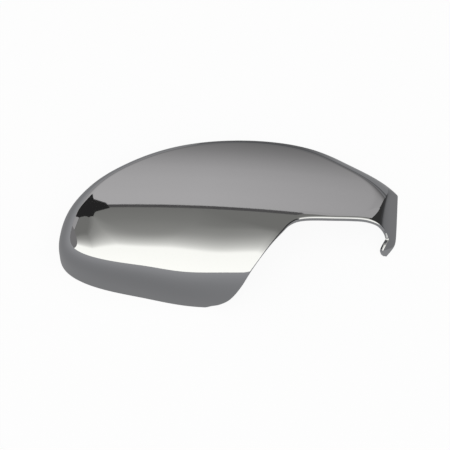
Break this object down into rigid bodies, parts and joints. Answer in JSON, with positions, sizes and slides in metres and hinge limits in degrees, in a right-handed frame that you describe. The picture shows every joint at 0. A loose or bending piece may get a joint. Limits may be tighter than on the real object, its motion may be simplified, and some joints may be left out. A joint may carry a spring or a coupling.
{
  "type": "wing mirror cover",
  "caption": "Bright plated outer shell of a car's right-hand door mirror: a deep oval dome with a cut-out for the mirror's arm and a thin hooked finger at its inboard end.",
  "frame": {"origin": "in the plane of the rim, under the middle of the cover's length and width", "axes": "+X from the outboard end to the inboard end, +Y from the lower rim to the upper rim, +Z from the open side out through the dome"},
  "size_m": [0.2298, 0.1158, 0.0617],
  "materials": {
    "plated_shell": "bright"
  },
  "bodies": {
    "root": {"mirror_cover": "plated_shell"}
  },
  "joints": []
}
